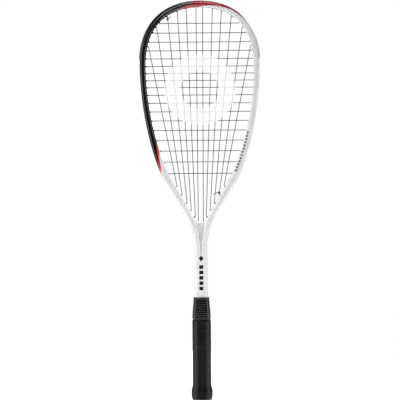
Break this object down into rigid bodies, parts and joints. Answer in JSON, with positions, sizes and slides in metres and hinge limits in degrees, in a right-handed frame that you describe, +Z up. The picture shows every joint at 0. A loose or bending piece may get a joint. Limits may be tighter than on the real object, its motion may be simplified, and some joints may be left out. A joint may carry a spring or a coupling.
{
  "type": "squash racket",
  "caption": "Teardrop squash racket: one-piece composite frame with woven string bed, bumper and grommet strips, wrapped octagonal handle and a rubber grip collar.",
  "frame": {"origin": "centre of the butt cap's flat underside", "axes": "+Z up the handle to the tip of the head, X across the head, Y normal to the string bed with the front of the racket at -Y"},
  "size_m": [0.2086, 0.032, 0.686],
  "materials": {
    "white_lacquer": "glossy lacquer over carbon composite, white with black and red bands",
    "grey_lacquer": "satin light grey lacquer",
    "grommet_nylon": "moulded nylon, satin",
    "bumper_nylon": "smoky grey moulded nylon, satin",
    "string": "black multifilament nylon with white ink in the middle of the bed",
    "handle_foam": "moulded polyurethane foam",
    "cap_plastic": "moulded plastic, matt",
    "staple_steel": "plain steel wire",
    "badge_plastic": "smooth blank disc",
    "grip": "perforated synthetic leather, matt black",
    "adhesive_band": "smooth vinyl tape",
    "collar_rubber": "ribbed black rubber, semi gloss"
  },
  "bodies": {
    "racket": {"frame": "white_lacquer", "throat_bridge": "grey_lacquer", "throat_grommet_centre": "grommet_nylon", "bumper_guard": "bumper_nylon", "grommet_strip_left": "grommet_nylon", "grommet_strip_right": "grommet_nylon", "throat_grommets_left": "grommet_nylon", "throat_grommets_right": "grommet_nylon", "string_mains": "string", "string_crosses": "string", "knot_mains": "string", "knot_crosses": "string", "handle_shell_front": "handle_foam", "handle_shell_back": "handle_foam", "shaft_plug": "handle_foam", "butt_cap": "cap_plastic", "butt_staple_left": "staple_steel", "butt_staple_right": "staple_steel", "butt_badge": "badge_plastic", "grip_tape": "grip", "finishing_tape": "adhesive_band"},
    "collar": {"rubber_collar": "collar_rubber"}
  },
  "joints": [
    {"name": "collar_slide", "type": "slide", "parent": "racket", "child": "collar", "axis": [0, 0, 1], "range_m": [0, 0.06]}
  ]
}
